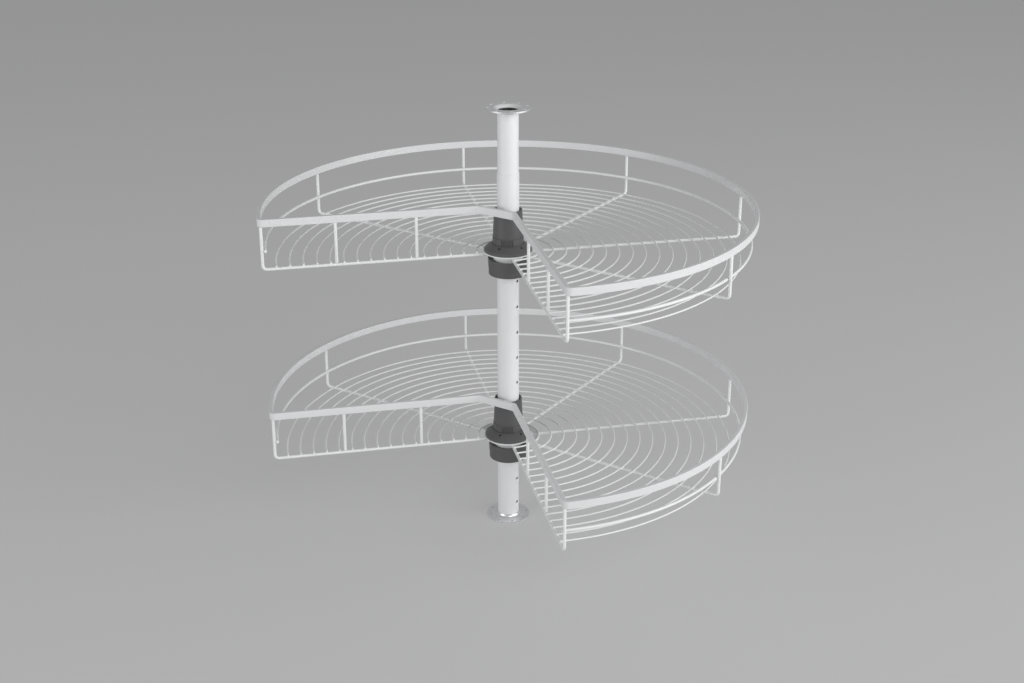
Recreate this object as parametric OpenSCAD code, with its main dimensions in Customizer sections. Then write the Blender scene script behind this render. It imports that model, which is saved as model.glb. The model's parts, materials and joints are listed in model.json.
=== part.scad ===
// Corner carousel: two three-quarter wire baskets that turn on a telescopic column.
// Millimetres, +Z up. The origin is on the column's axis, at the underside of its floor flange.
// The open quarter of each basket lies between -X and -Y. Heights inside a basket are taken
// from the top edge of its rim, and are negative.

/* [Column] */
// Height from the cabinet's floor to the underside of its top
column_h = 640; // [600:0.5:680]
// Length of the lower tube
lower_tube_h = 546.3; // [535:0.1:560]
// Length of the upper tube that is hidden in the lower one
tube_overlap = 130; // [100:1:180]
// Outside diameter of the lower tube
tube_d = 32; // [30:0.1:34]
// Wall of both tubes
tube_wall = 0.8; // [0.6:0.1:1]
// Gap all round between the two tubes, and between the column and what turns on it
running_gap = 0.06; // [0.03:0.01:0.09]

/* [Adjusting holes] */
// Diameter of the holes in the lower tube
hole_d = 4.5; // [3:0.1:6]
// Distance between two holes
hole_pitch = 40; // [30:1:50]
// Height of the lowest hole
first_hole_z = 25.5; // [15:0.5:30]
// Plain length between the last hole and the top of the lower tube, at least
hole_margin = 60; // [40:1:100]
// How far the row of holes is turned round the column
hole_angle = -45; // [-80:1:80]

/* [Flanges] */
// Diameter of the floor and ceiling flanges
flange_d = 65; // [60:0.5:75]
// Thickness of their sheet
flange_t = 2; // [1.5:0.1:3]
// Height of the neck that holds the tube, with the fillet that runs out on the sheet
neck_h = 7; // [6.5:0.1:8]
// Wall of the neck at its top
neck_t = 0.6; // [0.5:0.1:1.2]
// Radius of the flared tube end in the neck, on the tube's inside
flare_r = 6.5; // [6:0.1:7]
// Diameter of the flange's screw holes
screw_hole_d = 4.2; // [3:0.1:5]
// Diameter of the circle through their centres
screw_circle_d = 56; // [54:0.5:57]
// Number of screw holes
screw_hole_count = 8; // [4:1:8]

/* [Set screws] */
// Diameter of the screws that clamp the column and the supports
set_screw_d = 5; // [4:0.5:6]
// Width across the flats of their hexagon sockets
socket_w = 2.5; // [2:0.1:3]
// Depth of the sockets
socket_depth = 2.5; // [1.5:0.1:3]
// Gap round a screw in its hole
screw_gap = 0.1; // [0.05:0.01:0.2]
// Distance of the column's lock screw below the top of the lower tube
lock_screw_drop = 12; // [8:0.5:20]
// Diameter of the lock screw's head
lock_head_d = 9; // [8:0.1:11]
// Height of the lock screw's head
lock_head_h = 3.4; // [3.2:0.1:5]
// How far the set screws are turned round the column
set_screw_angle = 90; // [85:1:95]

/* [Baskets] */
// Outside diameter of a basket
basket_d = 710; // [660:1:760]
// Distance of the upper basket's rim below the top of the lower tube
upper_rim_drop = 46.5; // [30:0.1:60]
// Height of the lower basket's rim
lower_rim_z = 205.3; // [150:0.1:240]
// Depth of a basket, from the top of its rim to the centre of its floor rods
basket_depth = 73.3; // [71:0.1:90]
// Width of the rim's section
rim_w = 6; // [5:0.1:7]
// Height of the rim's section
rim_h = 11; // [8:0.1:14]
// Inside radius of the rim's two outer corners
corner_inner_r = 2; // [1:0.1:5]
// Distance from the column's axis to each end of the cut corner, along a straight side
cut_corner = 44; // [40:0.5:55]
// Gap left where two pieces are spot-welded or seated on each other
seat_gap = 0.05; // [0.03:0.01:0.08]

/* [Basket wires] */
// Diameter of the rods, the side posts and the mid rail
rod_d = 4.5; // [3.5:0.1:5]
// Distance from a basket's outside to the centres of its posts
post_inset = 4.5; // [3:0.1:5]
// Bending radius of the rods, to their centre line
bend_r = 6; // [5:0.1:12]
// Depth of the mid rail's centre below the rim's top
rail_depth = 46; // [30:0.5:55]
// How far the mid rail runs on past the straight sides
rail_overhang = 3.5; // [2.5:0.1:6]
// Diameter of the floor wires
wire_d = 2.5; // [2:0.1:3]
// Distance between two floor wires
wire_pitch = 19.05; // [17:0.05:22]
// Distance from the posts' centres to the outermost floor wire
floor_edge = 18.8; // [12:0.1:30]
// How far each floor wire runs on past the centre of an edge rod
wire_overhang = 1.6; // [1:0.1:2]
// Gap between the hub's edge and the innermost floor wire, at least
hub_wire_gap = 8; // [6:0.1:14]
// Which floor wires have a side post next to them, counted from the outside
post_wires = [4, 10];
// How far a side post stands inside its floor wire
side_post_gap = 8.4; // [6:0.1:10]

/* [Hub plates] */
// Diameter of the hub plate that is welded on the rods
hub_plate_d = 72; // [70:0.5:76]
// Thickness of the hub plate and the stiffener plate
plate_t = 1.4; // [1:0.1:2]
// How far the inner ends of the rods lie inside the hub plate's edge
rod_seat = 4.5; // [3:0.1:5]
// Diameter of the half-round stiffener plate of the lower basket
stiffener_d = 94.8; // [80:0.1:98]
// How far its top lies below the tops of the rods that it is welded to
stiffener_drop = 1; // [0.2:0.1:2]
// Gap between its inner edge and the bearing ring
stiffener_gap = 1.7; // [0.5:0.1:2.5]

/* [Hub] */
// Depth of the sleeve's top below the rim's top
sleeve_top_depth = 8; // [2:0.5:20]
// Outside diameter of the sleeve's top
sleeve_top_d = 40.6; // [39:0.1:44]
// Outside diameter of the sleeve's foot
sleeve_foot_d = 44.2; // [42:0.1:46]
// Diameter of the sleeve's mouth
sleeve_mouth_d = 35.4; // [35:0.1:37]
// Depth of the sleeve's mouth
sleeve_mouth_h = 12; // [6:0.5:20]
// Height of the hub's body above the hub plate
hub_h = 22; // [19:0.1:28]
// Diameter of the hub's body
hub_d = 45; // [43:0.1:48]
// Diameter of the hub's flange
hub_flange_d = 68.6; // [66:0.1:72]
// Height of the flange's straight edge
hub_edge_h = 3.8; // [2:0.1:5]
// Diameter at which the flange's slope turns steeper
hub_shoulder_d = 58; // [56:0.1:60]
// Height of that shoulder above the hub plate
hub_shoulder_h = 8.2; // [7.5:0.1:9]
// Height of the flange where it meets the groove round the body
hub_crown_h = 11.9; // [11:0.1:13]
// Width of that groove
hub_groove_w = 1; // [0.6:0.1:1.5]
// Depth of that groove
hub_groove_h = 0.8; // [0.5:0.1:2]
// Number of grip grooves
grip_count = 6; // [3:1:9]
// Distance between two grip grooves
grip_pitch = 3.1; // [2.5:0.1:5]
// Width of a grip groove
grip_w = 1.3; // [0.8:0.1:2]
// Depth of a grip groove
grip_depth = 1; // [0.3:0.1:1.5]
// Length of a grip groove
grip_h = 10.2; // [6:0.1:10.5]
// How far the middle of the grip is turned round the column
grip_angle = -106; // [-180:1:180]

/* [Hub screws] */
// Number of hub screws
hub_screw_count = 5; // [3:1:6]
// Diameter of the circle through their centres
hub_screw_circle_d = 53; // [52:0.1:55]
// How far the first of them is turned round the column
hub_screw_angle = 86.5; // [-180:0.5:180]
// Diameter of a hub screw's head
hub_screw_head_d = 4; // [3.4:0.1:4]
// Height of its head
hub_screw_head_h = 1.6; // [1:0.1:2.5]
// Diameter of its shank
hub_screw_d = 2.9; // [2:0.1:3.2]
// How far its head lies below the flange's shoulder
hub_screw_sink = 1; // [0.5:0.1:3]
// How far its point stands out under the hub plate
hub_screw_tip = 2; // [1:0.1:3]
// Width of the cross slot in its head
cross_slot_w = 0.7; // [0.5:0.1:1]

/* [Supports] */
// Outside diameter of the bearing ring
ring_d = 42.6; // [40:0.1:45]
// Height of the bearing ring below the hub plate
ring_h = 12; // [10:0.1:15]
// Diameter of the ring's collar inside the hub
ring_collar_d = 37; // [36:0.1:39]
// Height of that collar above the hub plate
ring_collar_h = 3; // [2:0.1:5]
// Gap between the turning ring and the standing cup
thrust_gap = 0.1; // [0.05:0.01:0.2]
// Outside diameter of the support cup's rim
cup_d = 58.4; // [56:0.1:62]
// Outside diameter of the cup's foot
cup_foot_d = 57.6; // [55:0.1:60]
// Height of the cup
cup_h = 13.1; // [11:0.1:16]
// Depth of the dish in the cup's top
dish_h = 2.9; // [2:0.1:4]
// Width of the cup's rim at the top
cup_rim_w = 1.2; // [0.8:0.1:2]
// Outside diameter of the support collar
collar_d = 56.6; // [54:0.1:60]
// Height of the support collar
collar_h = 11.2; // [10:0.1:15]
// Radius of the collar's lower edge
collar_edge_r = 1; // [0.5:0.1:4]
// Height of the set screw above the collar's foot
collar_screw_h = 5.4; // [4:0.1:6]

/* [Hidden] */
$fn = 96;

// Column
tube_r = tube_d / 2;
inner_tube_r = tube_r - tube_wall - running_gap;
upper_tube_h = column_h - lower_tube_h + tube_overlap;
bore_r = tube_r + running_gap;
seat_r = tube_r + seat_gap;
hole_count = floor((lower_tube_h - hole_margin - first_hole_z) / hole_pitch) + 1;
lock_screw_z = lower_tube_h - lock_screw_drop;

// Baskets
upper_rim_z = lower_tube_h - upper_rim_drop;
basket_r = basket_d / 2;
side_face = rim_w / 2;
corner_r = corner_inner_r + rim_w;
post_r = basket_r - post_inset;
rail_r = post_r - rod_d - seat_gap;
rod_z = -basket_depth;
rod_top_z = rod_z + rod_d / 2;
wire_z = rod_top_z + seat_gap + wire_d / 2;
outer_wire_r = post_r - floor_edge;
inner_wire_limit = hub_flange_d / 2 + hub_wire_gap;
wire_count = floor((outer_wire_r - inner_wire_limit) / wire_pitch) + 1;
left_side = 180;
front_side = -90;
spoke_angles = [135, 90, 45, 0, -45];

// Hubs and supports, from the hub plate up and down
plate_z = rod_top_z + seat_gap;
hub_z = plate_z + plate_t + seat_gap;
hub_flange_r = hub_flange_d / 2;
hub_screw_r = hub_screw_circle_d / 2;
hub_screw_pocket_r = hub_screw_head_d / 2 + screw_gap;
hub_screw_seat = hub_shoulder_h - hub_screw_sink - hub_screw_head_h;
ring_foot_z = plate_z - seat_gap - ring_h;
dish_z = ring_foot_z - thrust_gap;
cup_z = dish_z + dish_h - cup_h;
collar_z = cup_z - seat_gap - collar_h;
sleeve_z = hub_z + hub_h + seat_gap;
rod_inner_r = hub_plate_d / 2 - rod_seat;

module at_upper() {
    translate([0, 0, upper_rim_z]) children();
}

module at_lower() {
    translate([0, 0, lower_rim_z]) children();
}

// Copies turned evenly round the column
module around(count, first = 0) {
    for (turn = [0:count - 1]) rotate([0, 0, first + turn * 360 / count]) children();
}

// A round bar or hole that runs straight out from the column's axis
module radial_bar(from_r, to_r, d) {
    translate([from_r, 0, 0]) rotate([0, 90, 0]) cylinder(h = to_r - from_r, d = d);
}

module hexagon(across_flats, h) {
    cylinder(h = h, d = across_flats / cos(30), $fn = 6);
}

// ---- Column ----

// Half section of a tube whose end is flared outwards at height 0
module flared_tube_section(outer_r, length) {
    bore = outer_r - tube_wall;
    translate([bore, flare_r]) square([tube_wall, length - flare_r]);
    intersection() {
        translate([bore, 0]) square(flare_r);
        translate([bore + flare_r, flare_r]) difference() {
            circle(flare_r);
            circle(flare_r - tube_wall);
        }
    }
}

// Half section of a flange that holds that tube end, with its outer face at height 0
module flange_section(outer_r) {
    inner_r = outer_r + seat_gap;
    lip_r = outer_r - tube_wall + flare_r;
    throat_r = lip_r - inner_r;
    fillet_r = neck_h - flange_t;
    difference() {
        translate([inner_r, 0]) union() {
            square([neck_t + fillet_r, neck_h]);
            square([flange_d / 2 - inner_r, flange_t]);
        }
        translate([inner_r + neck_t + fillet_r, neck_h]) circle(fillet_r);
        difference() {
            translate([inner_r - 1, -1]) square([throat_r + 1 + seat_gap, flare_r + 1]);
            translate([lip_r, flare_r]) circle(throat_r);
            translate([lip_r, flare_r - throat_r]) square(throat_r);
        }
    }
}

module flange(outer_r) {
    color("silver") difference() {
        rotate_extrude() flange_section(outer_r);
        around(screw_hole_count)
            translate([screw_circle_d / 2, 0, -1]) cylinder(h = flange_t + 2, d = screw_hole_d);
    }
}

module floor_flange() {
    flange(tube_r);
}

module ceiling_flange() {
    translate([0, 0, column_h]) mirror([0, 0, 1]) flange(inner_tube_r);
}

module lower_tube() {
    color("gainsboro") difference() {
        rotate_extrude() flared_tube_section(tube_r, lower_tube_h);
        for (hole = [0:hole_count - 1])
            translate([0, 0, first_hole_z + hole * hole_pitch]) rotate([0, 0, hole_angle])
                radial_bar(0, tube_d, hole_d);
        translate([0, 0, lock_screw_z]) rotate([0, 0, set_screw_angle])
            radial_bar(0, tube_d, set_screw_d + 2 * screw_gap);
    }
}

module upper_tube() {
    color("gainsboro") translate([0, 0, column_h]) mirror([0, 0, 1])
        rotate_extrude() flared_tube_section(inner_tube_r, upper_tube_h);
}

// Clamps the upper tube where it was pulled out to
module column_lock_screw() {
    head_r = tube_r + seat_gap;
    color("dimgray") translate([0, 0, lock_screw_z]) rotate([0, 0, set_screw_angle]) difference() {
        union() {
            radial_bar(inner_tube_r + running_gap, head_r + 1, set_screw_d);
            radial_bar(head_r, head_r + lock_head_h, lock_head_d);
        }
        translate([head_r + lock_head_h - socket_depth, 0, 0]) rotate([0, 90, 0])
            hexagon(socket_w, socket_depth + 1);
    }
}

// ---- Baskets ----

// Where the rounding of the outer corner on the left side has its centre
function corner_centre() =
    let (y = corner_r - side_face, r = basket_r - corner_r) [-sqrt(r * r - y * y), y];

// What the rounding takes off that corner
module corner_waste(inset) {
    centre = corner_centre();
    reach = 2 * corner_r;
    out = 1 + reach / norm(centre);
    difference() {
        polygon([centre, centre + [0, -reach], centre + [-reach, -reach], centre * out]);
        translate(centre) circle(corner_r - inset);
    }
}

// Outline of a basket, drawn in from its outside by inset
module basket_plan(inset) {
    face = inset - side_face;
    cut = inset * sqrt(2) - cut_corner - side_face;
    far = -basket_d;
    difference() {
        circle(basket_r - inset);
        polygon([[cut - face, face], [far, face], [far, far], [face, far], [face, cut - face]]);
        corner_waste(inset);
        mirror([1, -1]) corner_waste(inset);
    }
}

module rim() {
    color("white") translate([0, 0, -rim_h]) linear_extrude(rim_h) difference() {
        basket_plan(0);
        basket_plan(rim_w);
    }
}

// A round wire bent round the column, from the front side to the left side and a little past
module three_quarter_wire(r, d, overhang) {
    past = asin(overhang / r);
    rotate([0, 0, front_side - past]) rotate_extrude(angle = 270 + 2 * past)
        translate([r, 0]) circle(d = d);
}

module mid_rail() {
    color("white") translate([0, 0, -rail_depth])
        three_quarter_wire(rail_r, rod_d, rail_overhang);
}

// A rod that runs out under the floor wires and is bent up to carry the rim
module bent_rod(angle) {
    bend_x = post_r - bend_r;
    bend_z = rod_z + bend_r;
    color("white") rotate([0, 0, angle]) {
        translate([0, 0, rod_z]) radial_bar(rod_inner_r, bend_x, rod_d);
        translate([bend_x, 0, bend_z]) rotate([90, 0, 0]) rotate([0, 0, -90])
            rotate_extrude(angle = 90) translate([bend_r, 0]) circle(d = rod_d);
        translate([post_r, 0, bend_z]) cylinder(h = -rim_h - seat_gap - bend_z, d = rod_d);
    }
}

// Two short posts between each edge rod and the straight side of the rim above it
module side_posts() {
    foot_z = rod_top_z + seat_gap;
    for (side = [left_side, front_side], wire = post_wires) {
        r = outer_wire_r - wire * wire_pitch - side_post_gap;
        color("white") rotate([0, 0, side]) translate([r, 0, foot_z])
            cylinder(h = -rim_h - seat_gap - foot_z, d = rod_d);
    }
}

module floor_wires() {
    for (wire = [0:wire_count - 1])
        color("white") translate([0, 0, wire_z])
            three_quarter_wire(outer_wire_r - wire * wire_pitch, wire_d, wire_overhang);
}

// ---- Hubs ----

module hub_plate() {
    color("whitesmoke") translate([0, 0, plate_z]) difference() {
        cylinder(h = plate_t, d = hub_plate_d);
        translate([0, 0, -1]) cylinder(h = plate_t + 2, d = ring_collar_d + 2 * seat_gap);
        hub_screw_holes();
    }
}

// Half a disc under the lower basket, away from its open quarter, notched for the rods
module stiffener_plate() {
    top_z = rod_top_z - stiffener_drop;
    inner_r = ring_d / 2 + stiffener_gap;
    color("whitesmoke") difference() {
        translate([0, 0, top_z - plate_t]) difference() {
            cylinder(h = plate_t, d = stiffener_d);
            translate([0, 0, -1]) cylinder(h = plate_t + 2, r = inner_r);
            hub_screw_holes();
            rotate([0, 0, 45]) translate([-stiffener_d, -stiffener_d, -1])
                cube([stiffener_d, 2 * stiffener_d, plate_t + 2]);
        }
        for (angle = spoke_angles) rotate([0, 0, angle]) translate([0, 0, rod_z])
            radial_bar(rod_inner_r - seat_gap, stiffener_d, rod_d + 2 * seat_gap);
    }
}

module hub_screw_holes() {
    around(hub_screw_count, hub_screw_angle) translate([hub_screw_r, 0, -1])
        cylinder(h = hub_h, d = hub_screw_d + 2 * screw_gap);
}

// Half section of the hub, upwards from the hub plate
module hub_section() {
    body_r = hub_d / 2;
    crown_r = body_r + hub_groove_w;
    groove_z = hub_crown_h - hub_groove_h;
    collar_r = ring_collar_d / 2 + seat_gap;
    collar_top = ring_collar_h + seat_gap;
    polygon([
        [bore_r, collar_top], [collar_r, collar_top], [collar_r, 0],
        [hub_flange_r, 0], [hub_flange_r, hub_edge_h], [hub_shoulder_d / 2, hub_shoulder_h],
        [crown_r, hub_crown_h], [crown_r, groove_z], [body_r, groove_z],
        [body_r, hub_h], [bore_r, hub_h]
    ]);
}

module hub() {
    grip_z = hub_h - grip_h - seat_gap;
    grip_step = grip_pitch / (hub_d / 2) * 180 / PI;
    color([0.3, 0.3, 0.31]) translate([0, 0, hub_z]) difference() {
        rotate_extrude() hub_section();
        hub_screw_holes();
        around(hub_screw_count, hub_screw_angle) translate([hub_screw_r, 0, hub_screw_seat])
            cylinder(h = hub_crown_h - hub_screw_seat, r = hub_screw_pocket_r);
        for (grip = [0:grip_count - 1])
            rotate([0, 0, grip_angle + (grip - (grip_count - 1) / 2) * grip_step])
                translate([hub_d / 2 - grip_depth, -grip_w / 2, grip_z])
                    cube([2 * grip_depth, grip_w, grip_h - 1]);
    }
}

module hub_sleeve() {
    top_z = -sleeve_top_depth;
    mouth_z = top_z - sleeve_mouth_h;
    color([0.3, 0.3, 0.31]) rotate_extrude() polygon([
        [bore_r, sleeve_z], [sleeve_foot_d / 2, sleeve_z], [sleeve_top_d / 2, top_z],
        [sleeve_mouth_d / 2, top_z], [sleeve_mouth_d / 2, mouth_z], [bore_r, mouth_z]
    ]);
}

// Sunk in the hub's flange, they hold it down on its plate
module hub_screws() {
    seat_z = hub_z + hub_screw_seat + seat_gap;
    tip_z = plate_z - hub_screw_tip;
    slot_l = hub_screw_head_d * 0.6;
    around(hub_screw_count, hub_screw_angle) color("dimgray") translate([hub_screw_r, 0, 0]) {
        translate([0, 0, tip_z]) cylinder(h = seat_z - tip_z + 0.5, d = hub_screw_d);
        translate([0, 0, seat_z]) difference() {
            cylinder(h = hub_screw_head_h, d = hub_screw_head_d);
            for (turn = [0, 90]) rotate([0, 0, turn])
                translate([-slot_l / 2, -cross_slot_w / 2, hub_screw_head_h / 2])
                    cube([slot_l, cross_slot_w, hub_screw_head_h]);
        }
    }
}

// ---- Supports ----

// The basket rests on this ring, which turns with it
module bearing_ring() {
    collar_top = ring_h + plate_t + ring_collar_h;
    color("white") translate([0, 0, ring_foot_z]) rotate_extrude() polygon([
        [bore_r, 0], [ring_d / 2, 0], [ring_d / 2, ring_h],
        [ring_collar_d / 2, ring_h], [ring_collar_d / 2, collar_top], [bore_r, collar_top]
    ]);
}

module support_cup() {
    dish_bottom = cup_h - dish_h;
    dish_edge_r = cup_d / 2 - cup_rim_w;
    color([0.29, 0.29, 0.3]) translate([0, 0, cup_z]) rotate_extrude() difference() {
        polygon([
            [seat_r, 0], [cup_foot_d / 2, 0], [cup_d / 2, cup_h], [dish_edge_r, cup_h],
            [dish_edge_r - dish_h, dish_bottom], [seat_r, dish_bottom]
        ]);
        translate([dish_edge_r - dish_h, cup_h]) circle(dish_h);
    }
}

module support_collar() {
    collar_r = collar_d / 2;
    color([0.29, 0.29, 0.3]) translate([0, 0, collar_z]) difference() {
        rotate_extrude() {
            difference() {
                translate([seat_r, 0]) square([collar_r - seat_r, collar_h]);
                translate([collar_r - collar_edge_r, 0]) square(collar_edge_r);
            }
            translate([collar_r - collar_edge_r, collar_edge_r]) intersection() {
                circle(collar_edge_r);
                translate([0, -collar_edge_r]) square(collar_edge_r);
            }
        }
        translate([0, 0, collar_screw_h]) rotate([0, 0, set_screw_angle])
            radial_bar(0, collar_d, set_screw_d + 2 * screw_gap);
    }
}

// Clamps the support on the column
module set_screw() {
    tip_r = tube_r + seat_gap;
    end_r = collar_d / 2 - 1;
    color("dimgray") translate([0, 0, collar_z + collar_screw_h])
        rotate([0, 0, set_screw_angle]) difference() {
            radial_bar(tip_r, end_r, set_screw_d);
            translate([end_r - socket_depth, 0, 0]) rotate([0, 90, 0])
                hexagon(socket_w, socket_depth + 1);
        }
}

lower_tube();
floor_flange();
upper_tube();
ceiling_flange();
column_lock_screw();

at_upper() rim();  // upper_rim
at_upper() mid_rail();  // upper_mid_rail
at_upper() bent_rod(left_side);  // upper_left_edge_rod
at_upper() bent_rod(front_side);  // upper_front_edge_rod
at_upper() bent_rod(spoke_angles[0]);  // upper_spoke_back_left
at_upper() bent_rod(spoke_angles[1]);  // upper_spoke_back
at_upper() bent_rod(spoke_angles[2]);  // upper_spoke_back_right
at_upper() bent_rod(spoke_angles[3]);  // upper_spoke_right
at_upper() bent_rod(spoke_angles[4]);  // upper_spoke_front_right
at_upper() side_posts();  // upper_side_posts
at_upper() floor_wires();  // upper_floor_wires
at_upper() hub_plate();  // upper_hub_plate
at_upper() hub();  // upper_hub
at_upper() hub_sleeve();  // upper_hub_sleeve
at_upper() hub_screws();  // upper_hub_screws
at_upper() bearing_ring();  // upper_bearing_ring
at_upper() support_cup();  // upper_support_cup
at_upper() support_collar();  // upper_support_collar
at_upper() set_screw();  // upper_set_screw

at_lower() rim();  // lower_rim
at_lower() mid_rail();  // lower_mid_rail
at_lower() bent_rod(left_side);  // lower_left_edge_rod
at_lower() bent_rod(front_side);  // lower_front_edge_rod
at_lower() bent_rod(spoke_angles[0]);  // lower_spoke_back_left
at_lower() bent_rod(spoke_angles[1]);  // lower_spoke_back
at_lower() bent_rod(spoke_angles[2]);  // lower_spoke_back_right
at_lower() bent_rod(spoke_angles[3]);  // lower_spoke_right
at_lower() bent_rod(spoke_angles[4]);  // lower_spoke_front_right
at_lower() side_posts();  // lower_side_posts
at_lower() floor_wires();  // lower_floor_wires
at_lower() hub_plate();  // lower_hub_plate
at_lower() stiffener_plate();  // lower_stiffener_plate
at_lower() hub();  // lower_hub
at_lower() hub_sleeve();  // lower_hub_sleeve
at_lower() hub_screws();  // lower_hub_screws
at_lower() bearing_ring();  // lower_bearing_ring
at_lower() support_cup();  // lower_support_cup
at_lower() support_collar();  // lower_support_collar
at_lower() set_screw();  // lower_set_screw
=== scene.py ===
import json
import math
import random

import bmesh
import bpy
from mathutils import Matrix, Vector


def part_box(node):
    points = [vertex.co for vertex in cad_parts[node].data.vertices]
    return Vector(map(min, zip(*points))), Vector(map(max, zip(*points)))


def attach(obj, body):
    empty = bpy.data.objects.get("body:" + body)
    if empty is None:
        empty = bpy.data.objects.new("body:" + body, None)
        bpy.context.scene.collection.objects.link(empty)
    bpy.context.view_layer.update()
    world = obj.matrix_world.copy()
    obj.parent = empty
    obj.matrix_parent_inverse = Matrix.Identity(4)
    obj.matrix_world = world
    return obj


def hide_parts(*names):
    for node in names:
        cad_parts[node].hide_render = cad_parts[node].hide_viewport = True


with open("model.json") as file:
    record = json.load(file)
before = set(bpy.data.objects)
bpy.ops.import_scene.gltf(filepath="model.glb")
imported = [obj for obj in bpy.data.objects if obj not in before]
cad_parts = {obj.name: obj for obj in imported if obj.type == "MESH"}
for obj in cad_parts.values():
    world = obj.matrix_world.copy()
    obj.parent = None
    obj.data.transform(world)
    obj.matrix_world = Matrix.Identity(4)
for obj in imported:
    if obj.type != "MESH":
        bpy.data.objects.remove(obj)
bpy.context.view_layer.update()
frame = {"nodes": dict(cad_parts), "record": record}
scene = bpy.context.scene
mm = 0.001
tiers = ("upper", "lower")


def rodRadius(tier):
    low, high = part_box(tier + "_spoke_right")
    return (high.y - low.y) / 2


def turned(degrees, point):
    return Matrix.Rotation(math.radians(degrees), 3, "Z") @ Vector(point)


class Value:
    # a socket; maths on it adds Math nodes
    def __init__(self, tree, socket):
        self.tree = tree
        self.socket = socket

    def maths(self, operation, first, second):
        node = self.tree.nodes.new("ShaderNodeMath")
        node.operation = operation
        for slot, item in enumerate((first, second)):
            if isinstance(item, Value):
                self.tree.links.new(item.socket, node.inputs[slot])
            else:
                node.inputs[slot].default_value = item
        return Value(self.tree, node.outputs[0])

    def __add__(self, other):
        return self.maths("ADD", self, other)

    def __radd__(self, other):
        return self.maths("ADD", other, self)

    def __sub__(self, other):
        return self.maths("SUBTRACT", self, other)

    def __rsub__(self, other):  # so that 1 - mask works
        return self.maths("SUBTRACT", other, self)

    def __mul__(self, other):
        return self.maths("MULTIPLY", self, other)

    def __rmul__(self, other):
        return self.maths("MULTIPLY", other, self)


def setStops(ramp, stops):
    while len(ramp.elements) < len(stops):
        ramp.elements.new(0.5)
    for element, (position, shade) in zip(ramp.elements, stops):
        element.position = position
        element.color = (shade, shade, shade, 1)


class Finish:
    # a material or world and its node tree
    def __init__(self, owner):
        self.owner = owner
        owner.use_nodes = True
        self.tree = owner.node_tree
        self.tree.nodes.clear()
        self.place = self.add("ShaderNodeTexCoord", {}, {}, "Object")

    def add(self, kind, settings, inputs, out=0):
        node = self.tree.nodes.new(kind)
        for key, setting in settings.items():
            if key == "stops":
                setStops(node.color_ramp, setting)
            else:
                setattr(node, key, setting)
        for key, item in inputs.items():
            if isinstance(item, Value):
                self.tree.links.new(item.socket, node.inputs[key])
            else:
                node.inputs[key].default_value = item
        return Value(self.tree, node.outputs[out]) if node.outputs else None

    def noise(self, size, detail=2, stretch=(1, 1, 1), rough=0.5):
        # size is the width of one blob in metres, before it is stretched
        scaled = self.add("ShaderNodeVectorMath", {"operation": "MULTIPLY"},
                          {0: self.place, 1: [1 / (size * s) for s in stretch]})
        inputs = {"Vector": scaled, "Scale": 1, "Detail": detail, "Roughness": rough}
        return self.add("ShaderNodeTexNoise", {"noise_dimensions": "3D"}, inputs, "Fac")

    def steps(self, value, stops):
        return self.add("ShaderNodeValToRGB", {"stops": stops}, {"Fac": value}, "Color")

    def blend(self, share, first, second):
        # colours are written as three numbers, and the socket wants a fourth
        first, second = [(*item, 1) if isinstance(item, tuple) else item
                         for item in (first, second)]
        return self.add("ShaderNodeMix", {"data_type": "RGBA"}, {0: share, 6: first, 7: second}, 2)

    def nearAxis(self, radius, fade):
        # 1 within that distance of the column's axis, then down to 0
        flat = self.add("ShaderNodeVectorMath", {"operation": "MULTIPLY"},
                        {0: self.place, 1: (1, 1, 0)})
        away = self.add("ShaderNodeVectorMath", {"operation": "LENGTH"}, {0: flat}, "Value")
        return self.add("ShaderNodeMapRange", {}, {
            "Value": away, "From Min": radius, "From Max": radius + fade, "To Min": 1, "To Max": 0})

    def relief(self, height, depth, strength):
        return self.add("ShaderNodeBump", {},
                        {"Height": height, "Distance": depth, "Strength": strength})

    def shadeWith(self, inputs):
        shader = self.add("ShaderNodeBsdfPrincipled", {}, inputs)
        self.add("ShaderNodeOutputMaterial", {}, {"Surface": shader})
        return self.owner


def swing(value, width):
    # noise from 0 to 1, made to vary by that width about zero
    return (value - 0.5) * width


# a Share is a part of the relief or colour, a Roughness how far that noise moves the roughness
coatLook = {"driftRoughness": 0.08, "grainRoughness": 0.1, "peelShare": 0.75, "grainShare": 0.15,
            "pitShare": 0.1, "pitStops": ((0.27, 0), (0.34, 1)), "bump": 0.8}


def powderCoat(name, look):
    # sprayed powder that flowed into a low orange peel, with a few fine pits
    look = {**coatLook, **look}
    coat = Finish(bpy.data.materials.new(name))
    drift = coat.noise(look["drift"], detail=3)
    peel = coat.noise(look["peel"])
    grain = coat.noise(look["grain"])
    pits = coat.steps(grain, look["pitStops"])
    uneven = swing(drift, look["driftRoughness"]) + swing(grain, look["grainRoughness"])
    height = peel * look["peelShare"] + grain * look["grainShare"] + pits * look["pitShare"]
    return coat.shadeWith({
        "Base Color": coat.blend(drift, look["shade"], look["light"]),
        "Roughness": look["roughness"] + uneven,
        "Normal": coat.relief(height, look["depth"], look["bump"]),
    })


tubeLook = {"drawnStretch": (1, 1, 60), "scuffStretch": (14, 14, 1),
            "scuffStops": ((0.62, 0), (0.72, 1)), "drawnRoughness": 0.14, "cloudRoughness": 0.08,
            "scuffRoughness": 0.03, "drawnShare": 0.9, "scuffShare": 0.1, "bump": 0.6}


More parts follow.
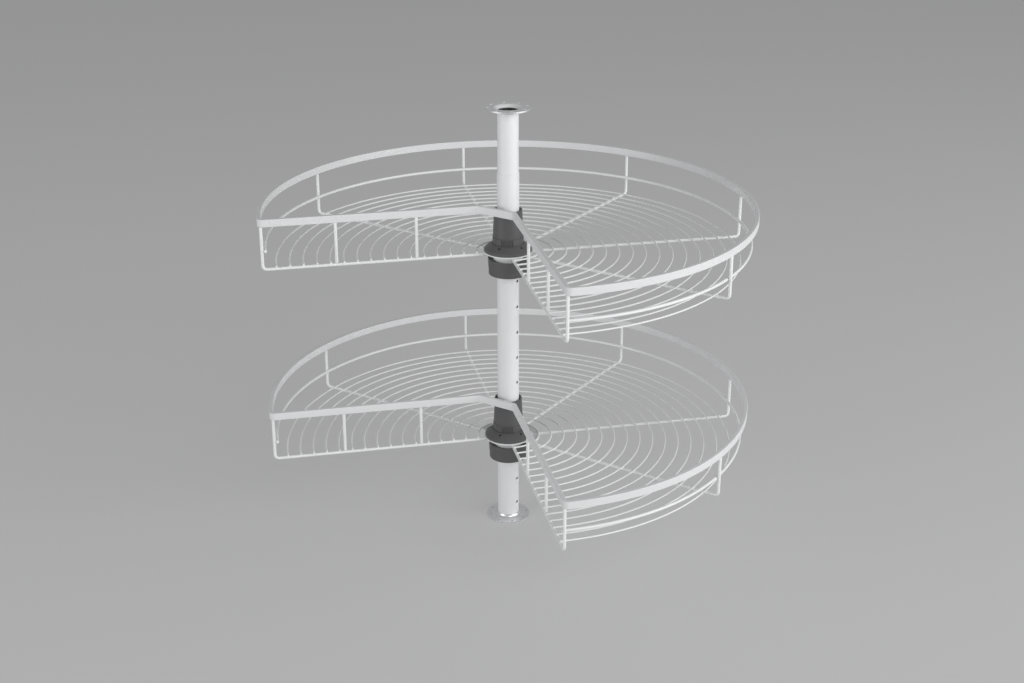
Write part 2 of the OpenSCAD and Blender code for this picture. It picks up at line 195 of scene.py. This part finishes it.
def platedTube(name, look):
    # drawn along its length, then matt plated outside; near the axis, inside the bore, it is
    # painted dark as painted shade
    look = {**tubeLook, **look}
    steel = Finish(bpy.data.materials.new(name))
    drawn = steel.noise(look["line"], detail=3, stretch=look["drawnStretch"])
    clouds = steel.noise(look["cloud"], detail=3)
    scratches = steel.noise(look["scuff"], stretch=look["scuffStretch"])
    scuffs = steel.steps(scratches, look["scuffStops"])
    plated = steel.blend(drawn * 0.5 + clouds * 0.5, look["shade"], look["light"])
    # painted shade: the base colour turns dark within a radius of the column's axis, inside the
    # bore
    boreShade = steel.nearAxis(look["boreShadeRadius"], look["boreShadeFade"])
    uneven = swing(drawn, look["drawnRoughness"]) + swing(clouds, look["cloudRoughness"])
    height = drawn * look["drawnShare"] + scuffs * look["scuffShare"]
    return steel.shadeWith({
        "Base Color": steel.blend(boreShade, plated, look["paintedBoreShade"]),
        "Metallic": look["metal"],
        "Roughness": look["roughness"] + uneven - scuffs * look["scuffRoughness"],
        "Normal": steel.relief(height, look["depth"], look["bump"]),
    })


zincLook = {"cloudRoughness": 0.22, "grainRoughness": 0.08, "grainShare": 0.6, "cloudShare": 0.4,
            "bump": 0.6}


def zincPlate(name, look):
    # pressed sheet with a bright zinc plating that clouds a little
    look = {**zincLook, **look}
    zinc = Finish(bpy.data.materials.new(name))
    clouds = zinc.noise(look["cloud"], detail=4)
    grain = zinc.noise(look["grain"])
    uneven = swing(clouds, look["cloudRoughness"]) + swing(grain, look["grainRoughness"])
    height = grain * look["grainShare"] + clouds * look["cloudShare"]
    return zinc.shadeWith({
        "Base Color": zinc.blend(clouds, look["shade"], look["light"]),
        "Metallic": look["metal"],
        "Roughness": look["roughness"] + uneven,
        "Normal": zinc.relief(height, look["depth"], look["bump"]),
    })


plasticLook = {"textureGrit": 0.7, "flowStretch": (1, 1, 2.5), "dustStops": ((0.66, 0), (0.78, 1)),
               "flowShare": 0.7, "dustShare": 0.3, "textureRoughness": 0.2, "flowRoughness": 0.1,
               "bump": 0.7}


def mouldedPlastic(name, look):
    # fine spark-eroded texture of a moulding tool, with faint flow shading and dust
    look = {**plasticLook, **look}
    plastic = Finish(bpy.data.materials.new(name))
    texture = plastic.noise(look["texture"], rough=look["textureGrit"])
    flow = plastic.noise(look["flow"], detail=3, stretch=look["flowStretch"])
    dust = plastic.steps(plastic.noise(look["dust"]), look["dustStops"])
    paleness = flow * look["flowShare"] + dust * look["dustShare"]
    uneven = swing(texture, look["textureRoughness"]) + swing(flow, look["flowRoughness"])
    return plastic.shadeWith({
        "Base Color": plastic.blend(paleness, look["shade"], look["light"]),
        "Roughness": look["roughness"] + uneven,
        "Normal": plastic.relief(texture, look["depth"], look["bump"]),
    })


screwLook = {"wearStops": ((0, 0), (0.5, 0.1), (0.7, 1)), "wearRoughness": 0.2, "bump": 0.5}


def blackenedSteel(name, look):
    # black oxide, rubbed down to the steel in small spots
    look = {**screwLook, **look}
    steel = Finish(bpy.data.materials.new(name))
    wear = steel.noise(look["wear"], detail=4)
    grain = steel.noise(look["grain"])
    rubbed = steel.steps(wear, look["wearStops"])
    return steel.shadeWith({
        "Base Color": steel.blend(rubbed, look["shade"], look["light"]),
        "Metallic": look["metal"],
        "Roughness": look["roughness"] + swing(wear, look["wearRoughness"]),
        "Normal": steel.relief(grain, look["depth"], look["bump"]),
    })


finishes = {
    "rim_white": powderCoat("rimPowderCoat", {
        "shade": (0.715, 0.725, 0.73), "light": (0.75, 0.76, 0.765), "roughness": 0.42,
        "drift": 0.09, "peel": 1.3 * mm, "grain": 0.35 * mm, "depth": 0.035 * mm}),
    "wire_white": powderCoat("wirePowderCoat", {
        "shade": (0.80, 0.81, 0.81), "light": (0.84, 0.85, 0.85), "roughness": 0.36,
        "drift": 0.06, "peel": 1.0 * mm, "grain": 0.3 * mm, "depth": 0.03 * mm}),
    "column_steel": platedTube("mattPlatedTube", {
        "shade": (0.79, 0.795, 0.805), "light": (0.84, 0.845, 0.85), "roughness": 0.6,
        "metal": 0.15, "line": 0.45 * mm, "cloud": 0.05, "scuff": 0.5 * mm, "depth": 0.012 * mm,
        # the bore's dark colour and its radius are painted shade inside the tube
        "paintedBoreShade": (0.05, 0.05, 0.052), "boreShadeRadius": 14.6 * mm, "boreShadeFade": 0.3 * mm}),
    "flange_steel": zincPlate("zincPlatedFlange", {
        "shade": (0.72, 0.73, 0.745), "light": (0.82, 0.83, 0.84), "roughness": 0.37,
        "metal": 0.9, "cloud": 7 * mm, "grain": 0.5 * mm, "depth": 0.02 * mm}),
    "grey_plastic": mouldedPlastic("greyMoulding", {
        "shade": (0.082, 0.082, 0.085), "light": (0.108, 0.108, 0.111), "roughness": 0.46,
        "texture": 0.28 * mm, "flow": 0.012, "dust": 0.9 * mm, "depth": 0.03 * mm}),
    "ring_white": mouldedPlastic("slideRingWhite", {
        "shade": (0.84, 0.85, 0.85), "light": (0.88, 0.89, 0.89), "roughness": 0.3,
        "texture": 0.5 * mm, "flow": 0.02, "dust": 0.8 * mm, "depth": 0.008 * mm}),
    "screw_steel": blackenedSteel("blackenedScrew", {
        "shade": (0.10, 0.10, 0.105), "light": (0.34, 0.34, 0.35), "roughness": 0.4,
        "metal": 0.9, "wear": 1.2 * mm, "grain": 0.2 * mm, "depth": 0.01 * mm}),
}
print("finishes made:", len(finishes))


def newPiece(name, mesh, body, slot, replaced):
    for face in mesh.polygons:
        face.use_smooth = True
    mesh.materials.append(finishes[slot])
    piece = bpy.data.objects.new(name, mesh)
    scene.collection.objects.link(piece)
    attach(piece, body)
    if replaced:
        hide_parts(*replaced)
    return piece


def flatten(piece):
    # keeps flat faces flat between their rounded edges
    modifier = piece.modifiers.new("evenShading", "WEIGHTED_NORMAL")
    modifier.weight = 100  # the largest faces decide
    modifier.keep_sharp = True


def meshFrom(name, bm):
    bmesh.ops.recalc_face_normals(bm, faces=bm.faces)
    mesh = bpy.data.meshes.new(name)
    bm.to_mesh(mesh)
    bm.free()
    return mesh


def bridge(bm, first, second):
    count = len(first)
    for i in range(count):
        j = (i + 1) % count
        bm.faces.new((first[i], first[j], second[j], second[i]))


def sweepWire(bm, points, normal, radius, sides, edge):
    # a round wire along points of one plane, whose normal is given; edge rounds its cut ends
    normal = Vector(normal).normalized()
    stations = []
    first, last = Vector(points[0]), Vector(points[-1])
    start = (Vector(points[1]) - first).normalized()
    end = (Vector(points[-2]) - last).normalized()
    roundings = [math.radians(angle) for angle in (90, 60, 30)]
    for angle in roundings:
        stations.append((first + start * edge * (1 - math.sin(angle)), start,
                         radius - edge * (1 - math.cos(angle))))
    stations.append((first + start * edge, start, radius))
    for before, here, after in zip(points, points[1:], points[2:]):
        stations.append((Vector(here), (Vector(after) - Vector(before)).normalized(), radius))
    stations.append((last + end * edge, -end, radius))
    for angle in reversed(roundings):
        stations.append((last + end * edge * (1 - math.sin(angle)), -end,
                         radius - edge * (1 - math.cos(angle))))
    rings = []
    for centre, tangent, size in stations:
        across = tangent.cross(normal)
        rings.append([bm.verts.new(centre + (normal * math.cos(a) + across * math.sin(a)) * size)
                      for a in (math.tau * i / sides for i in range(sides))])
    for first, second in zip(rings, rings[1:]):
        bridge(bm, first, second)
    bm.faces.new(rings[0])
    bm.faces.new(rings[-1])


def arcPoints(radius, z, fromAngle, toAngle, sag):
    step = 2 * math.degrees(math.acos(1 - sag / radius))
    count = math.ceil((toAngle - fromAngle) / step)
    return [turned(fromAngle + (toAngle - fromAngle) * i / count, (radius, 0, z))
            for i in range(count + 1)]


rimLook = {"edge": 0.9 * mm, "edgeSteps": 4, "bend": 1.5 * mm, "arcSteps": 320, "cornerSteps": 14,
           "creaseSteps": 5, "cutCorner": 44 * mm, "cornerRadius": 8 * mm, "width": 6 * mm}


def rimOutline(radius, inset):
    # the basket's plan, drawn in from its outside by inset, counter-clockwise
    look = rimLook
    side = look["width"] / 2
    corner = look["cornerRadius"]
    high = corner - side
    centre = Vector((-math.sqrt((radius - corner) ** 2 - high ** 2), high))
    tilt = math.degrees(math.asin(high / (radius - corner)))
    points = []
    for i in range(look["arcSteps"] + 1):
        angle = math.radians(-90 + tilt + (270 - 2 * tilt) * i / look["arcSteps"])
        points.append(Vector((math.cos(angle), math.sin(angle))) * (radius - inset))
    left = []
    for i in range(1, look["cornerSteps"] + 1):
        angle = math.radians(180 - tilt + (90 + tilt) * i / look["cornerSteps"])
        left.append(centre + Vector((math.cos(angle), math.sin(angle))) * (corner - inset))
    face = -look["bend"] - side
    cut = -look["bend"] * math.sqrt(2) - look["cutCorner"] - side
    crease = Vector((cut - face, face))
    for i in range(look["creaseSteps"] + 1):
        angle = math.radians(90 - 45 * i / look["creaseSteps"])
        left.append(crease + Vector((math.cos(angle), math.sin(angle))) * (look["bend"] + inset))
    return points + left + [p.yx for p in reversed(left)]  # mirrored in the diagonal


def rimSection(width, height, edge, steps):
    # inset and height of a rounded rectangle's outline
    section = []
    corners = ((edge, edge, 180), (width - edge, edge, 270),
               (width - edge, height - edge, 0), (edge, height - edge, 90))
    for x, y, start in corners:
        for i in range(steps + 1):
            angle = math.radians(start + 90 * i / steps)
            section.append((x + edge * math.cos(angle), y + edge * math.sin(angle)))
    return section


def makeRim(tier):
    low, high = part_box(tier + "_rim")
    bm = bmesh.new()
    loops = []
    section = rimSection(rimLook["width"], high.z - low.z, rimLook["edge"], rimLook["edgeSteps"])
    for inset, up in section:
        loops.append([bm.verts.new((p.x, p.y, low.z + up)) for p in rimOutline(high.x, inset)])
    for first, second in zip(loops, loops[1:] + loops[:1]):
        bridge(bm, first, second)
    piece = newPiece(tier + "_rim_band", meshFrom(tier + "RimBand", bm), tier + "_basket",
                     "rim_white", [tier + "_rim"])
    flatten(piece)


for tier in tiers:
    makeRim(tier)
print("rims made")


rodLook = {"sides": 20, "edge": 0.5 * mm, "bend": 6 * mm, "bendSteps": 12, "sag": 0.015 * mm,
           "railOverhang": 3.5 * mm, "postStep": 114.3 * mm}
# the way each one runs out, in degrees counter-clockwise from the right
rods = {"left_edge_rod": 180, "front_edge_rod": -90, "spoke_back_left": 135, "spoke_back": 90,
        "spoke_back_right": 45, "spoke_right": 0, "spoke_front_right": -45}


def makeRod(tier, name, angle):
    look = rodLook
    radius = rodRadius(tier)
    low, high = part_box(tier + "_spoke_right")
    inner, postR, bend = low.x, high.x - radius, look["bend"]
    z = low.z + radius
    points = [turned(angle, (inner, 0, z))]
    for i in range(look["bendSteps"] + 1):
        turn = math.radians(90 * i / look["bendSteps"])
        out, up = bend * math.sin(turn), bend * (1 - math.cos(turn))
        points.append(turned(angle, (postR - bend + out, 0, z + up)))
    points.append(turned(angle, (postR, 0, high.z)))
    bm = bmesh.new()
    sweepWire(bm, points, turned(angle, (0, 1, 0)), radius, look["sides"], look["edge"])
    newPiece(f"{tier}_{name}_wire", meshFrom(tier + name, bm), tier + "_basket", "wire_white",
             [f"{tier}_{name}"])


def makeRail(tier):
    low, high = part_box(tier + "_mid_rail")
    radius = (high.z - low.z) / 2
    railR = high.x - radius
    past = math.degrees(math.asin(rodLook["railOverhang"] / railR))
    bm = bmesh.new()
    points = arcPoints(railR, (low.z + high.z) / 2, -90 - past, 180 + past, rodLook["sag"])
    sweepWire(bm, points, (0, 0, 1), radius, rodLook["sides"], rodLook["edge"])
    newPiece(tier + "_mid_rail_wire", meshFrom(tier + "MidRail", bm), tier + "_basket",
             "wire_white", [tier + "_mid_rail"])


def makeSidePosts(tier):
    low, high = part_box(tier + "_side_posts")
    radius = rodRadius(tier)
    outer = -low.x - radius
    bm = bmesh.new()
    for angle in (180, -90):  # the two straight sides
        for r in (outer, outer - rodLook["postStep"]):
            foot, top = turned(angle, (r, 0, low.z)), turned(angle, (r, 0, high.z))
            points = [foot, (foot + top) / 2, top]
            sweepWire(bm, points, turned(angle, (0, 1, 0)), radius, rodLook["sides"],
                      rodLook["edge"])
    newPiece(tier + "_side_post_wires", meshFrom(tier + "SidePosts", bm), tier + "_basket",
             "wire_white", [tier + "_side_posts"])


for tier in tiers:
    for name, angle in rods.items():
        makeRod(tier, name, angle)
    makeRail(tier)
    makeSidePosts(tier)
print("rods, rails and posts made")


floorLook = {"sides": 14, "edge": 0.4 * mm, "sag": 0.015 * mm, "pitch": 19.05 * mm, "count": 16,
             "overhang": 1.6 * mm}


def floorRadii(tier):
    low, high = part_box(tier + "_floor_wires")
    radius = (high.z - low.z) / 2
    return [high.x - radius - i * floorLook["pitch"] for i in range(floorLook["count"])]


def makeFloorWires(tier):
    look = floorLook
    low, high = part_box(tier + "_floor_wires")
    bm = bmesh.new()
    for r in floorRadii(tier):
        past = math.degrees(math.asin(look["overhang"] / r))
        points = arcPoints(r, (low.z + high.z) / 2, -90 - past, 180 + past, look["sag"])
        sweepWire(bm, points, (0, 0, 1), (high.z - low.z) / 2, look["sides"], look["edge"])
    newPiece(tier + "_floor_ring_wires", meshFrom(tier + "FloorWires", bm), tier + "_basket",
             "wire_white", [tier + "_floor_wires"])


for tier in tiers:
    makeFloorWires(tier)
print("floor wires made")


weldLook = {"length": 1.9 * mm, "width": 1.6 * mm, "height": 0.6 * mm, "uneven": 0.18,
            "around": 14, "up": 8, "seeds": {"upper": 7, "lower": 8}}


def addWeld(bm, centre, along, up, sizes, dice):
    # a low lens of melted metal where two wires cross
    along, up = Vector(along).normalized(), Vector(up).normalized()
    across = up.cross(along)
    grown = [size * (1 + dice.uniform(-1, 1) * weldLook["uneven"]) for size in sizes]
    axes = Matrix((along * grown[0], across * grown[1], up * grown[2])).transposed().to_4x4()
    bmesh.ops.create_uvsphere(bm, u_segments=weldLook["around"], v_segments=weldLook["up"],
                              radius=1, matrix=Matrix.Translation(centre) @ axes)


def makeWelds(tier):
    look = weldLook
    dice = random.Random(look["seeds"][tier])
    low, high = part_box(tier + "_floor_wires")
    sizes = (look["length"], look["width"], look["height"])
    bm = bmesh.new()
    for angle in rods.values():
        for r in floorRadii(tier):
            spot = turned(angle, (r, 0, low.z))
            addWeld(bm, spot, turned(angle, (0, 1, 0)), (0, 0, 1), sizes, dice)
    railLow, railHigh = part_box(tier + "_mid_rail")
    for angle in rods.values():
        spot = turned(angle, (railHigh.x, 0, (railLow.z + railHigh.z) / 2))
        addWeld(bm, spot, (0, 0, 1), turned(angle, (1, 0, 0)), sizes, dice)
    newPiece(tier + "_welds", meshFrom(tier + "Welds", bm), tier + "_basket", "wire_white", [])


for tier in tiers:
    makeWelds(tier)
print("welds made")


# angles in degrees: faces that meet at less than join become one, edges above round are rounded
edgeLook = {"merge": 0.002 * mm, "join": 0.3, "round": 32, "segments": 3}
# widths of the rounded edges, in millimetres
edgeWidths = {
    "lower_tube": 0.15, "upper_tube": 0.15, "floor_flange": 0.2, "ceiling_flange": 0.2,
    "column_lock_screw": 0.3, "hub_plate": 0.25, "hub": 0.2, "hub_sleeve": 0.4, "hub_screws": 0.15,
    "bearing_ring": 0.4, "support_cup": 0.35, "support_collar": 0.4, "set_screw": 0.2,
    "stiffener_plate": 0.25,
}
# the narrow step round the tube's mouth doesn't join cleanly, so these keep their triangles
unjoined = ("floor_flange", "ceiling_flange")


def softenEdges(piece, width, joined):
    piece.modifiers.new("joinCorners", "WELD").merge_threshold = edgeLook["merge"]
    if joined:
        flat = piece.modifiers.new("joinFlats", "DECIMATE")
        flat.decimate_type = "DISSOLVE"
        flat.angle_limit = math.radians(edgeLook["join"])
    bevel = piece.modifiers.new("softEdges", "BEVEL")
    bevel.width = width * mm
    bevel.segments = edgeLook["segments"]
    bevel.limit_method = "ANGLE"
    bevel.angle_limit = math.radians(edgeLook["round"])
    bevel.use_clamp_overlap = True
    flatten(piece)


for row in frame["record"]["subparts"]:
    node = row["node"]
    piece = frame["nodes"][node]
    if piece.hide_render:
        continue
    piece.data.materials.clear()
    piece.data.materials.append(finishes[row["material_slot"]])
    kind = node if node in edgeWidths else node.split("_", 1)[1]  # without its tier
    softenEdges(piece, edgeWidths[kind], kind not in unjoined)
print("frame pieces finished")


# the floor is matt paper, with a share of the backdrop's plain shade for the rays that show it
studio = {"floorColour": 0.78, "floorSize": 30, "floorCells": 8, "backdrop": 0.40,
          "backdropBlue": 1.01, "backdropShare": 0.5, "world": 0.2, "lampDistance": 4.2,
          "aim": (0, 0, 0.33)}
# turn is from the front towards the left, rise above the horizon, both in degrees
lamps = {
    "rightSoftbox": {"turn": -55, "rise": 13, "width": 3.2, "height": 2.2, "watts": 100},
    "leftSoftbox": {"turn": 68, "rise": 11, "width": 2.4, "height": 1.9, "watts": 62},
    "frontSoftbox": {"turn": -14, "rise": 34, "width": 2.4, "height": 1.6, "watts": 46},
}
photoCamera = {"lens": 54.15, "sensor": 36, "place": (-0.4395, -2.0593, 1.1515),
               "tilt": 67.69, "turn": -12.2}


def seenByCamera(look):
    # 1 for the rays that show the backdrop: straight, mirrored and seen through
    camera = look.add("ShaderNodeLightPath", {}, {}, "Is Camera Ray")
    glossy = look.add("ShaderNodeLightPath", {}, {}, "Is Glossy Ray")
    through = look.add("ShaderNodeLightPath", {}, {}, "Is Transmission Ray")
    return look.add("ShaderNodeMath", {"operation": "MINIMUM"},
                    {0: camera + glossy + through, 1: 1})


def makeFloor():
    bm = bmesh.new()
    bmesh.ops.create_grid(bm, x_segments=studio["floorCells"], y_segments=studio["floorCells"],
                          size=studio["floorSize"] / 2)
    mesh = bpy.data.meshes.new("studioFloor")
    bm.to_mesh(mesh)
    bm.free()
    floor = bpy.data.objects.new("studio_floor", mesh)
    scene.collection.objects.link(floor)
    paper = Finish(bpy.data.materials.new("floorPaper"))
    shade, seen = studio["floorColour"], studio["backdrop"]
    matt = paper.add("ShaderNodeBsdfDiffuse", {}, {"Color": (shade, shade, shade, 1)})
    glow = paper.add("ShaderNodeEmission", {},
                     {"Color": (seen, seen, seen * studio["backdropBlue"], 1), "Strength": 1})
    share = seenByCamera(paper) * studio["backdropShare"]
    mixed = paper.add("ShaderNodeMixShader", {}, {0: share, 1: matt, 2: glow})
    paper.add("ShaderNodeOutputMaterial", {}, {"Surface": mixed})
    mesh.materials.append(paper.owner)


def makeLamp(name, look):
    data = bpy.data.lights.new(name, "AREA")
    data.shape = "RECTANGLE"
    data.size, data.size_y = look["width"], look["height"]
    data.energy = look["watts"]
    lamp = bpy.data.objects.new(name, data)
    turn, rise = math.radians(look["turn"]), math.radians(look["rise"])
    away = Vector((-math.sin(turn) * math.cos(rise), -math.cos(turn) * math.cos(rise),
                   math.sin(rise)))
    lamp.location = Vector(studio["aim"]) + away * studio["lampDistance"]
    lamp.rotation_euler = away.to_track_quat("Z", "Y").to_euler()
    scene.collection.objects.link(lamp)


def makeWorld():
    scene.world = bpy.data.worlds.new("studioWorld")
    sky = Finish(scene.world)
    shown = sky.add("ShaderNodeMix", {"data_type": "FLOAT"},
                    {0: seenByCamera(sky), 2: studio["world"], 3: studio["backdrop"]})
    glow = sky.add("ShaderNodeBackground", {}, {"Color": (1, 1, 1, 1), "Strength": shown})
    sky.add("ShaderNodeOutputWorld", {}, {"Surface": glow})


def makeCamera():
    data = bpy.data.cameras.new("photoCamera")
    data.lens, data.sensor_width = photoCamera["lens"], photoCamera["sensor"]
    camera = bpy.data.objects.new("photoCamera", data)
    camera.location = photoCamera["place"]
    tilt, turn = math.radians(photoCamera["tilt"]), math.radians(photoCamera["turn"])
    camera.rotation_euler = (tilt, 0, turn)
    scene.collection.objects.link(camera)
    scene.camera = camera


makeFloor()
for name, look in lamps.items():
    makeLamp(name, look)
makeWorld()
makeCamera()
scene.view_settings.view_transform = "Standard"
print("studio ready")
